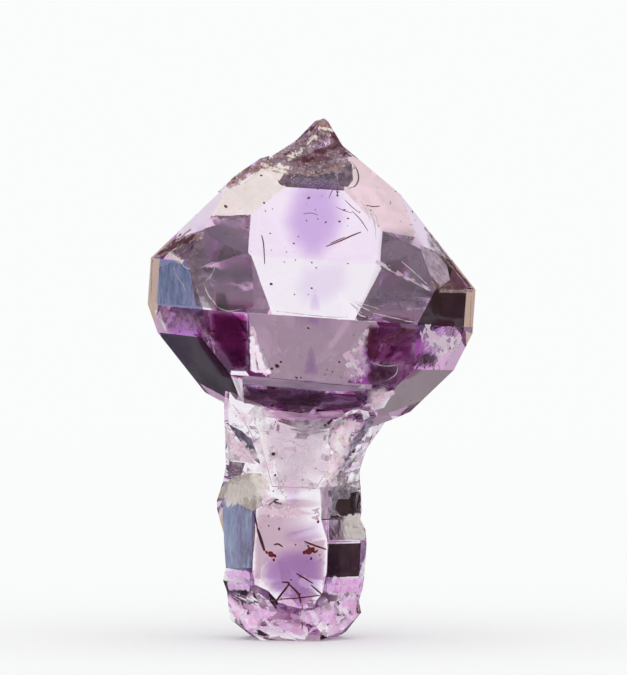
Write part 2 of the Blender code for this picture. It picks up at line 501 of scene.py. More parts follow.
# Films on the crystal, some of them stains and some painted light, as noted at each: size of the patches in
# metres, three colours from dark to pale, how solid they are, how much light still passes, roughness, and
# lines that they follow, from one pixel to another, with their reach in millimetres. A film shows where its
# patches and its nearness to a line together pass the film edge, and its grain goes from dark to middle and
# from middle to pale over the other two ranges.
FILM_EDGE = (0.80, 0.92)
DARK_GRAIN = (0.36, 0.5)
PALE_GRAIN = (0.54, 0.66)
FILMS = [
    ("tip_skin", 0.34e-3, ((80, 42, 56), (134, 102, 114), (196, 172, 176)), 0.66, 0.22, 0.3,
     [((302, 146), (324, 130), 1.5), ((290, 160), (338, 154), 1.3), ((272, 162), (296, 150), 1.0),
     ((334, 138), (342, 154), 1.0), ((298, 168), (338, 166), 0.9)]),
    ("rust", 0.42e-3, ((92, 50, 46), (160, 118, 112), (222, 200, 192)), 0.50, 0.35, 0.4,
     [((230, 184), (246, 172), 0.9), ((246, 172), (266, 163), 0.9), ((262, 166), (288, 172), 0.7),
     ((280, 156), (312, 131), 0.3), ((290, 171), (318, 175), 0.45), ((318, 175), (350, 162), 0.4),
     ((317, 124), (327, 126), 1.0), ((152, 262), (190, 230), 0.4),
     ((160, 254), (198, 236), 0.9), ((425, 228), (470, 286), 0.4), ((440, 291), (472, 291), 0.3),
     ((444, 254), (468, 286), 0.6), ((152, 264), (151, 300), 0.2), ((471, 296), (470, 330), 0.2)]),
    ("maroon", 0.3e-3, ((52, 18, 26), (92, 44, 56), (134, 88, 100)), 0.50, 0.2, 0.3,
     [((294, 160), (326, 160), 1.0), ((334, 134), (343, 152), 0.9), ((316, 152), (336, 146), 0.7),
     ((164, 251), (192, 237), 1.1), ((173, 243), (188, 241), 1.3), ((157, 255), (180, 235), 0.4),
     ((448, 260), (468, 284), 0.6), ((303, 134), (314, 127), 0.5)]),
    ("blush", 0.5e-3, ((226, 186, 206), (248, 220, 234), (255, 246, 252)), 0.60, 0.4, 0.35,
     [((252, 328), (258, 352), 0.35), ((256, 350), (266, 372), 0.5), ((230, 440), (250, 458), 1.1),
     ((226, 402), (246, 420), 0.7), ((348, 424), (334, 472), 1.5), ((258, 480), (268, 500), 0.7),
     ((262, 512), (296, 512), 0.8), ((336, 440), (330, 468), 1.0), ((376, 400), (392, 394), 0.6)]),
    # cream: painted light, the cream glow that the stem's side panels show
    ("cream", 0.6e-3, ((216, 204, 196), (238, 228, 222), (250, 246, 242)), 0.80, 0.3, 0.35,
     [((349, 520), (361, 522), 0.8), ((348, 532), (362, 534), 0.8), ((230, 496), (258, 484), 1.3)]),
    # foot_painted_glow: a pale pink film that paints the glow of light coming up from below in the broken
    # foot and the stem's pink side panels
    ("foot_painted_glow", 0.9e-3, ((246, 172, 246), (255, 208, 255), (255, 244, 255)), 0.62, 0.35, 0.3,
     [((228, 574), (248, 575), 0.6), ((229, 586), (248, 588), 0.6), ((334, 581), (362, 582), 0.6),
     ((232, 602), (252, 626), 1.3), ((262, 612), (300, 632), 0.7), ((308, 616), (352, 602), 1.4),
     ((332, 630), (356, 618), 0.8), ((330, 588), (360, 590), 0.8)]),
    # foot_painted_highlights: painted white highlights on the broken foot
    ("foot_painted_highlights", 0.45e-3, ((255, 214, 248), (255, 238, 252), (255, 255, 255)), 0.50, 0.12, 0.3,
     [((232, 604), (256, 626), 1.1), ((268, 624), (278, 630), 0.7), ((312, 612), (320, 628), 0.6),
     ((340, 608), (354, 620), 0.8)]),
    ("sliver", 0.6e-3, ((255, 224, 248), (255, 240, 252), (255, 252, 255)), 0.75, 0.1, 0.3,
     [((252.5, 338), (254, 369), 0.32), ((257, 348), (262, 369), 0.36), ((256, 371), (269, 372), 0.22)]),
    # pale: painted highlights in near-white grain along the tip's ridge, its apex, the base rim, the left
    # shoulder and the neck
    ("pale", 0.26e-3, ((190, 166, 158), (240, 228, 214), (255, 252, 246)), 0.50, 0.2, 0.3,
     [((290, 157), (313, 137), 0.6), ((320, 128), (332, 130), 0.3), ((262, 164), (284, 172), 0.6),
     ((170, 254), (182, 262), 0.4), ((342, 430), (330, 476), 0.9), ((258, 420), (268, 466), 0.7)]),
]

# Frost where the crystal is crackled: its cells' size in metres, how surely a cell on a line is frosted and
# one that is anywhere on the neck, how much light still passes, and its lines, as for the films
FROST_CELL = 0.5e-3
FROST_SOLID = 0.9
FROST_EDGE = (1.02, 1.10)
NECK_FROST = 0.12
NECK_FROST_SOFT = 0.6 * MM
FROST_PASSING = 0.7
FROST_ROUGHNESS = 0.45
FROST_PINK = srgb(255, 214, 236)
FROST_FOOT = srgb(255, 226, 255)
FROST_LINES = [
    ((256, 412), (268, 470), 0.8), ((340, 428), (330, 480), 1.1), ((350, 424), (346, 452), 0.8),
    ((426, 334), (452, 346), 1.0), ((440, 356), (458, 336), 0.8), ((156, 314), (166, 330), 0.35),
    ((350, 356), (362, 380), 0.7), ((366, 330), (360, 350), 0.3), ((262, 474), (296, 488), 0.6),
    ((378, 262), (430, 290), 0.25), ((234, 604), (256, 622), 1.2), ((258, 616), (300, 630), 0.5),
    ((306, 618), (352, 604), 1.2), ((334, 628), (354, 612), 0.7),
]


def near_line(nodes, place, start, stop, reach):
    """1 on the line between two points, falling evenly to 0 at reach from it."""
    run = stop - start
    offset = nodes.vector("SUBTRACT", place, tuple(start))
    along = nodes.vector("DOT_PRODUCT", offset, tuple(run), out="Value")
    along = nodes.math("DIVIDE", along, run.length_squared)
    along = nodes.math("MINIMUM", nodes.math("MAXIMUM", along, 0.0), 1.0)
    far = nodes.vector("DISTANCE", offset, nodes.scaled(tuple(run), along), out="Value")
    return nodes.math("MULTIPLY_ADD", far, -1.0 / reach, 1.0, clamp=True)


def near_lines(nodes, place, lines):
    """The nearest of several lines, each given by two pixels and a reach in millimetres."""
    nearest = 0.0
    for begin, end, reach in lines:
        start, stop = look(*begin), look(*end)
        if start is not None and stop is not None:
            here = near_line(nodes, place, start[0], stop[0], reach * MM)
            nearest = nodes.math("MAXIMUM", nearest, here)
    return nearest


def facets(nodes, place, size, slope):
    """Relief of small flat facets: each cell is a plane that leans its own way."""
    cells = nodes.cells(place, size)
    offset = nodes.vector("SUBTRACT", place, cells.outputs["Position"])
    lean = nodes.vector("SUBTRACT", cells.outputs["Color"], (0.5, 0.5, 0.5))
    height = nodes.vector("DOT_PRODUCT", offset, lean, out="Value")
    return nodes.math("MULTIPLY", height, 2.0 * slope)


def quartz_relief(nodes, place, height, rough_here):
    """Slow waves, hillocks and striae all over, and broken facets at the foot, the neck and the tip."""
    waves = nodes.math("MULTIPLY", nodes.noise(place, WAVES[0], 1.5), WAVES[1])
    small = nodes.math("MULTIPLY", nodes.noise(place, HILLOCKS[0], 2.0), HILLOCKS[1])
    lines = nodes.noise(nodes.stretched(place, 0.12, 0.12, 1.0), STRIAE[0], 2.0)
    total = nodes.math("ADD", nodes.math("ADD", waves, small), nodes.math("MULTIPLY", lines, STRIAE[1]))
    for name, (size, slope, (low, high), soft) in BREAKS.items():
        here = inside(nodes, height, low, high, soft)
        if name == "neck":
            here = nodes.math("MULTIPLY", here, rough_here)
        broken = nodes.math("MULTIPLY", facets(nodes, place, size, slope), here)
        total = nodes.math("ADD", total, broken)
    return total


def lay_over(nodes, surface, cover, tone, passing, roughness):
    """A surface's colour, clearness and roughness, with a film or frost over it where cover is 1."""
    colour, clear, rough = surface
    colour = nodes.mix(cover, colour, tone)
    clear = nodes.math("MULTIPLY", clear, nodes.math("MULTIPLY_ADD", cover, passing - 1.0, 1.0))
    rough = nodes.math("MAXIMUM", rough, nodes.math("MULTIPLY", cover, roughness))
    return colour, clear, rough


def add_films(nodes, place, surface):
    """Lays the films over a surface's colour, clearness and roughness."""
    for name, size, shades, solid, passing, roughness, lines in FILMS:
        dark, middle, pale = (srgb(*shade) for shade in shades)
        near = near_lines(nodes, place, lines)
        patches = nodes.noise(place, size, 5.0, 0.7)
        film = nodes.fade(nodes.math("MULTIPLY_ADD", near, solid, patches), *FILM_EDGE)
        grain = nodes.noise(place, 0.5 * size, 4.0, 0.7)
        tone = nodes.mix(nodes.fade(grain, *DARK_GRAIN), dark, middle)
        tone = nodes.mix(nodes.fade(grain, *PALE_GRAIN), tone, pale)
        surface = lay_over(nodes, surface, film, tone, passing, roughness)
    return surface


def add_frost(nodes, place, height, rough_here, surface):
    """Lays frost over them where the crystal is crackled: some cells near the frost's lines, and a few of the
    neck's, whitish to pink."""
    cells = nodes.cells(place, FROST_CELL)
    chance = nodes.add("ShaderNodeSeparateColor")
    nodes.put(cells.outputs["Color"], chance.inputs[0])
    low, high = BREAKS["neck"][2]
    around = nodes.math("MULTIPLY", inside(nodes, height, low, high, NECK_FROST_SOFT), rough_here)
    around = nodes.math("MULTIPLY", around, NECK_FROST)
    near = nodes.math("MAXIMUM", near_lines(nodes, place, FROST_LINES), around)
    frost = nodes.fade(nodes.math("MULTIPLY_ADD", near, FROST_SOLID, chance.outputs[0]), *FROST_EDGE)
    tone = nodes.mix(nodes.math("POWER", chance.outputs[1], 1.5), (1.0, 1.0, 1.0), FROST_PINK)
    size, slope, (low, high), soft = BREAKS["foot"]
    tone = nodes.mix(inside(nodes, height, low, high, soft), tone, FROST_FOOT, "MULTIPLY")
    return lay_over(nodes, surface, frost, tone, FROST_PASSING, FROST_ROUGHNESS)


def quartz_material():
    """Clear pale violet quartz, with growth relief, rougher ends and neck, films, and frost."""
    material, nodes, shader = new_material("quartz")
    place = nodes.place()
    x, y, height = nodes.parts(place)
    left, right, back = CLEAR_FRONT
    front = inside(nodes, x, left, right, CLEAR_FRONT_SOFT)
    front = nodes.math("MULTIPLY", front, nodes.math("LESS_THAN", y, back))
    rough_here = nodes.math("SUBTRACT", 1.0, front)

    bump = nodes.add("ShaderNodeBump")
    bump.inputs["Distance"].default_value = 1.0
    nodes.put(quartz_relief(nodes, place, height, rough_here), bump.inputs["Height"])
    nodes.put(bump.outputs[0], shader.inputs["Normal"])

    clean = ((1.0, 1.0, 1.0), 1.0, 0.0)
    surface = add_frost(nodes, place, height, rough_here, add_films(nodes, place, clean))
    for value, socket in zip(surface, ("Base Color", "Transmission Weight", "Roughness")):
        nodes.put(value, shader.inputs[socket])
    set_inputs(shader, IOR=QUARTZ_IOR)
    fill_volume(material, nodes, *QUARTZ_TINT)
    return material


# Zones of deeper colour, whose pieces' names start with phantom: colour, density, depth and thickness in
# millimetres, soft edge in pixels, and outline in pixels
VIOLET = (0.47, 0.115, 0.72)
MAUVE = (0.46, 0.10, 0.30)
MAGENTA = (0.62, 0.03, 0.5)
PINK = (0.72, 0.12, 0.66)
ZONES = [
    ("window", VIOLET, 160.0, 5.0, 4.6, 23.0, [(298, 174), (334, 174), (345, 194), (351, 218), (343, 244),
     (322, 264), (304, 264), (286, 246), (277, 222), (286, 194)]),
    ("window_low", VIOLET, 90.0, 6.0, 2.4, 16.0, [(300, 262), (350, 255), (352, 288), (330, 308),
     (300, 308), (290, 288)]),
    ("window_spike", VIOLET, 420.0, 4.0, 0.7, 3.0, [(315, 281), (323, 312), (307, 312)]),
    ("wedge", VIOLET, 480.0, 4.0, 1.0, 4.0, [(311, 338), (321, 376), (301, 376)]),
    ("left", VIOLET, 240.0, 3.0, 2.0, 14.0, [(198, 228), (222, 226), (228, 246), (220, 264), (203, 262),
     (192, 246)]),
    # mirrored_block_left and mirrored_block_right: deeper colour where the crystal mirrors its violet phantom
    # inside, a painted reflection; the left one is denser, to paint it darker
    ("mirrored_block_left", MAGENTA, 1250.0, 2.4, 2.6, 6.0, [(209, 311), (248, 313), (248, 368), (234, 370),
     (213, 338)]),
    ("mirrored_block_right", MAGENTA, 420.0, 2.4, 2.6, 6.0, [(367, 326), (415, 329), (413, 360), (396, 366),
     (367, 360)]),
    ("band", VIOLET, 420.0, 2.4, 1.4, 5.0, [(246, 388), (370, 395), (366, 405), (250, 400)]),
    ("neck", MAUVE, 95.0, 4.2, 5.2, 12.0, [(268, 416), (342, 414), (341, 440), (334, 468), (328, 496),
     (274, 496), (266, 462), (262, 430)]),
    ("stem", MAUVE, 150.0, 4.3, 5.4, 3.0, [(256, 513), (263, 501), (323, 495), (326, 520), (326, 560),
     (325, 596), (300, 604), (262, 600), (254, 586), (254, 545)]),
    ("stem_core", VIOLET, 330.0, 3.6, 2.8, 16.0, [(262, 558), (284, 546), (310, 544), (328, 556),
     (328, 600), (300, 608), (272, 602), (260, 580)]),
    ("stem_top", VIOLET, 160.0, 3.6, 2.4, 12.0, [(286, 526), (318, 518), (325, 538), (304, 550),
     (278, 542)]),
    ("stem_patch", VIOLET, 320.0, 1.6, 0.9, 6.0, [(284, 480), (300, 482), (303, 498), (294, 506),
     (284, 500)]),
    ("panel_left", PINK, 140.0, 1.2, 1.8, 4.0, [(225, 569), (250, 569), (250, 593), (227, 590)]),
    ("panel_right", PINK, 360.0, 1.2, 1.8, 4.0, [(330, 577), (364, 577), (363, 596), (331, 597)]),
    ("foot", PINK, 150.0, 3.2, 4.8, 12.0, [(231, 604), (262, 600), (300, 606), (357, 598), (360, 620),
     (330, 633), (285, 638), (240, 628)]),
]


def zone_material(name, colour, density):
    """Quartz that only absorbs more than the quartz round it, so that light passes into it unbent."""
    material, nodes, shader = new_material(name)
    set_inputs(shader, Base_Color=(1.0, 1.0, 1.0, 1.0), Roughness=0.0, IOR=1.0, Transmission_Weight=1.0)
    fill_volume(material, nodes, colour, density)
    return material


def add_zones():
    for name, colour, density, depth, thickness, soft, outline in ZONES:
        name = "phantom_" + name
        zone(name, outline, depth, thickness, soft, zone_material(name, colour, density))


# Flecks of iron ore inside: pixel, size in pixels, depth in millimetres, how red they are
FLECKS = [
    (225.7, 206.6, 2.5, 0.1, 0.9), (261.4, 175.6, 2.1, 0.1, 0.0), (293.8, 243.5, 1.5, 1.0, 0.6),
    (339.7, 221.5, 2.1, 0.3, 0.5), (344, 210, 1.7, 0.3, 0.7), (348, 218.5, 1.7, 0.3, 0.5),
    (306.5, 220.5, 1.2, 0.6, 0.5), (317.8, 219, 1.3, 0.5, 0.5), (308.6, 198, 2.2, 0.4, 0.9),
    (337.7, 195.5, 2.0, 0.2, 0.1), (338.6, 192, 1.2, 0.2, 0.1), (235, 255, 2.3, 0.3, 0.4),
    (271, 284, 2.3, 1.6, 0.2), (378.5, 225.6, 1.6, 0.2, 0.5), (229.5, 269.2, 1.7, 0.6, 1.0),
    (198, 266.5, 1.8, 0.2, 0.5), (271.5, 250, 1.0, 0.5, 0.5), (284.5, 262, 1.1, 0.8, 0.6),
    (277, 366, 3.6, 0.4, 0.2), (272, 369, 2.0, 0.4, 0.2), (281, 362, 1.4, 0.4, 0.2),
    (296.5, 377.5, 1.8, 0.3, 0.4), (301, 377.8, 1.3, 0.3, 0.4), (382, 397, 2.2, 0.2, 0.5),
    (273, 405, 2.6, 0.2, 0.5), (355, 425, 2.0, 0.2, 0.1), (318, 522, 1.8, 0.3, 0.1),
    (259, 474.6, 2.2, 0.2, 0.6), (279, 528.6, 1.6, 0.5, 0.6), (302.6, 480, 1.1, 0.3, 0.1),
    (236, 416, 1.1, 0.2, 0.4), (240, 446.6, 1.2, 0.2, 0.5), (346, 460, 1.6, 0.2, 0.5),
    (295.6, 545, 1.2, 0.4, 0.4), (311.4, 558.6, 1.9, 0.3, 0.0), (320, 555, 1.1, 0.3, 0.1),
    (320, 560, 0.9, 0.3, 0.1), (300, 594, 1.4, 0.4, 0.3), (268, 618, 2.6, 0.2, 1.0),
    (328, 625, 1.7, 0.2, 0.1), (262, 505, 1.2, 0.3, 0.4), (226.5, 567, 1.2, 0.1, 0.6),
    (174.5, 251, 2.4, 0.1, 0.3), (175, 240, 2.8, 0.1, 0.5), (192, 247, 2.4, 0.1, 0.4),
    (184, 238, 2.8, 0.1, 0.3), (183, 246, 1.8, 0.1, 0.2), (167.5, 253.5, 1.8, 0.1, 0.4),
    (309, 552, 4.6, 0.3, 0.9), (304.5, 552.5, 2.8, 0.3, 0.9), (313, 549, 3.2, 0.3, 0.8),
    (271, 555, 4.6, 0.3, 0.9), (267, 552, 2.6, 0.3, 0.8), (275, 556, 2.6, 0.3, 0.8),
    (274, 559.5, 2.0, 0.3, 0.8), (331.5, 420.5, 2.2, 0.2, 0.2), (355.7, 430, 1.4, 0.1, 0.4),
    (337.4, 452.4, 1.6, 0.1, 0.5), (341, 464, 1.4, 0.1, 0.6), (275.3, 475, 1.6, 0.1, 0.4),
    (258.7, 480, 1.2, 0.1, 0.4), (356, 479.6, 1.5, 0.1, 0.3), (345.3, 486.6, 1.6, 0.1, 0.3),
    (273.6, 454, 2.8, 0.1, 0.4), (329, 423, 2.6, 0.2, 0.2), (325, 425, 1.8, 0.2, 0.2),
    (295, 415, 2.4, 0.2, 0.7),
]
FLECK_SEED = 11
DUST_SEED = 23

# The dust: how many specks, between which pixels and depths in millimetres, and their radius in pixels. The
# flecks and needles are drawn a little larger than they measure, because quartz blurs their edges.
DUST_NUMBER = 190
DUST_ACROSS = (155.0, 470.0)
DUST_DOWN = (130.0, 636.0)
DUST_DEPTH = (0.1, 6.0)
DUST_SIZE = (0.25, 0.7)
FLECK_SWELL = 1.15
NEEDLE_SWELL = 1.7


def fleck_material():
    """Iron ore, from near black to dark red."""
    material, nodes, shader = new_material("iron_ore")
    red = nodes.level("red")
    mottle = nodes.fade(nodes.noise(nodes.place(), 0.12e-3, 3.0), 0.35, 0.65)
    deep = nodes.mix(red, srgb(22, 6, 10), srgb(112, 12, 8))
    bright = nodes.mix(red, srgb(52, 14, 18), srgb(172, 34, 20))
    nodes.put(nodes.mix(mottle, deep, bright), shader.inputs["Base Color"])
    set_inputs(shader, Roughness=0.45)
    return material


def colour_corners(mesh, name, shades):
    """Writes one grey level for each vertex as a colour attribute."""
    layer = mesh.color_attributes.new(name, "FLOAT_COLOR", "POINT")
    for spot, shade in zip(layer.data, shades):
        spot.color = (shade, shade, shade, 1.0)


# A lump of ore: how uneven it is, how fine its waves are, and how much it is drawn out one way
LUMP_UNEVEN = 0.16
LUMP_WAVES = 2.6
LUMP_LONG = 0.35


def any_vector(chance):
    """A vector with each part between -1 and 1."""
    return Vector([chance.uniform(-1, 1) for axis in range(3)])


def lump(shape, centre, size, chance, flat=1.0, normal=None):
    """Adds an uneven lump of the given radius in metres, flattened along the normal."""
    before = len(shape.verts)
    bmesh.ops.create_icosphere(shape, subdivisions=2, radius=1.0)
    shape.verts.ensure_lookup_table()
    turn = any_vector(chance).normalized()
    waves = [(any_vector(chance) * LUMP_WAVES, chance.uniform(0, 6.3)) for i in range(4)]
    for vertex in shape.verts[before:]:
        way = vertex.co.normalized()
        swell = 1.0 + LUMP_UNEVEN * sum(math.sin(wave.dot(way) + phase) for wave, phase in waves)
        point = way * swell
        point = point + turn * LUMP_LONG * point.dot(turn)
        if normal is not None:
            point = point - normal * point.dot(normal) * (1.0 - flat)
        vertex.co = centre + point * size
    return len(shape.verts) - before


def add_flecks():
    """The flecks that the photograph shows, and fine dust of the same ore scattered through the crystal."""
    chance = random.Random(FLECK_SEED)
    shape = bmesh.new()
    shades = []
    for x, y, size, depth, red in FLECKS:
        place = within(x, y, depth)
        if place is None:
            continue
        shades += [red] * lump(shape, place, 0.5 * size * PIXEL * FLECK_SWELL, chance, 0.5, look(x, y)[1])
    chance = random.Random(DUST_SEED)
    made = 0
    while made < DUST_NUMBER:
        x = chance.uniform(*DUST_ACROSS)
        y = chance.uniform(*DUST_DOWN)
        depth = chance.uniform(*DUST_DEPTH)
        place = within(x, y, depth)
        if place is None:
            continue
        size = chance.uniform(*DUST_SIZE) * PIXEL * (1.4 if chance.random() < 0.15 else 1.0)
        shades += [chance.choice((0.2, 0.5, 0.8))] * lump(shape, place, size, chance)
        made += 1
    piece = new_piece("iron_flecks", shape, fleck_material(), smooth=True)
    colour_corners(piece.data, "red", shades)


# Needles of the same ore: pixels along each, radius in pixels at its ends and middle, depth, how red
NEEDLES = [
    ([(326, 246.5), (340, 241), (352, 235.5), (361, 232)], 0.55, 0.3, 0.8),
    ([(330, 243.5), (345, 237)], 0.35, 0.35, 0.7),
    ([(261.6, 235), (263.6, 244), (264.7, 264)], 0.4, 0.4, 0.4),
    ([(257.4, 528.5), (261, 540), (264.6, 551)], 0.95, 0.25, 0.25),
    ([(253.5, 512), (256, 521), (257.5, 530)], 0.5, 0.1, 0.4),
    ([(274, 545), (278, 544), (283, 547)], 0.55, 0.3, 0.6),
    ([(304, 541), (312, 544.5), (326.4, 549.4)], 0.6, 0.3, 0.7),
    ([(307, 545), (314, 552), (318, 550)], 0.7, 0.3, 0.8),
    ([(296.6, 573.6), (305, 578.5), (313, 583.4)], 0.5, 0.4, 0.5),
    ([(311, 585), (318, 591), (324, 596)], 0.5, 0.4, 0.5),
    ([(282, 582), (289, 583), (286, 588), (279, 597), (275, 602)], 0.7, 0.3, 0.45),
    ([(289, 584.5), (295, 590), (299, 595), (301, 603)], 0.7, 0.3, 0.5),
    ([(274, 600), (289, 599), (306, 597), (323, 595)], 0.4, 0.3, 0.4),
    ([(266, 502), (272, 500), (277, 503), (282, 504)], 0.8, 0.2, 0.45),
    ([(269, 505), (275, 500), (279, 500)], 0.5, 0.2, 0.4),
    ([(302, 604), (302.6, 618), (301.5, 634)], 0.35, 0.1, 0.5),
    ([(352, 211), (360, 219), (368, 231)], 0.3, 0.3, 0.5),
    ([(345, 200), (352, 207), (360, 213)], 0.28, 0.3, 0.8),
    ([(336, 207), (344, 210.5), (352, 213)], 0.25, 0.3, 0.8),
    ([(303, 214), (311, 213), (318, 215)], 0.25, 0.3, 0.9),
    ([(366, 205), (373, 206.5), (380, 206)], 0.4, 0.1, 0.7),
    ([(291, 415), (295, 414.5), (299, 416)], 0.9, 0.2, 0.6),
    ([(295, 411), (295.4, 418)], 0.7, 0.2, 0.6),
]


# A direction that no needle follows
OFF_NEEDLES = Vector((0.21, 0.93, 0.3))
TUBE_SIDES = 5


def tube(shape, points, radius):
    """Adds a tube with flat sides through the points, which tapers to its ends."""
    rings = []
    count = len(points)
    for i, point in enumerate(points):
        way = (points[min(i + 1, count - 1)] - points[max(i - 1, 0)]).normalized()
        side = way.cross(OFF_NEEDLES).normalized()
        top = way.cross(side)
        here = radius * (0.35 + 0.65 * math.sin(math.pi * (0.12 + 0.76 * i / (count - 1))))
        rings.append([
            shape.verts.new(point + here * (math.cos(turn) * side + math.sin(turn) * top))
            for turn in (2.0 * math.pi * k / TUBE_SIDES for k in range(TUBE_SIDES))
        ])
    for near, far in zip(rings, rings[1:]):
        for k in range(TUBE_SIDES):
            following = (k + 1) % TUBE_SIDES
            shape.faces.new((near[k], near[following], far[following], far[k]))
    shape.faces.new(rings[0][::-1])
    shape.faces.new(rings[-1])
    return TUBE_SIDES * count


def between(a, b, c, d, t):
    """A value on a smooth line from b to c, t of the way along it, with a before it and d after it."""
    bend = (2 * a - 5 * b + 4 * c - d) * t ** 2
    turn = (3 * b - a - 3 * c + d) * t ** 3
    return 0.5 * (2 * b + (c - a) * t + bend + turn)


def smooth_path(corners, steps=4):
    """A smooth line of pixels through the corners."""
    path = []
    for i in range(len(corners) - 1):
        before = corners[max(i - 1, 0)]
        start, stop = corners[i], corners[i + 1]
        after = corners[min(i + 2, len(corners) - 1)]
        for k in range(steps):
            t = k / steps
            path.append(tuple(between(*values, t) for values in zip(before, start, stop, after)))
    return path + [corners[-1]]


def add_needles():
    shape = bmesh.new()
    shades = []
    for corners, radius, depth, red in NEEDLES:
        points = [within(x, y, depth) for x, y in smooth_path(corners)]
        points = [point for point in points if point is not None]
        if len(points) > 1:
            shades += [red] * tube(shape, points, NEEDLE_SWELL * radius * PIXEL)
    piece = new_piece("iron_needles", shape, fleck_material(), smooth=True)
    colour_corners(piece.data, "red", shades)
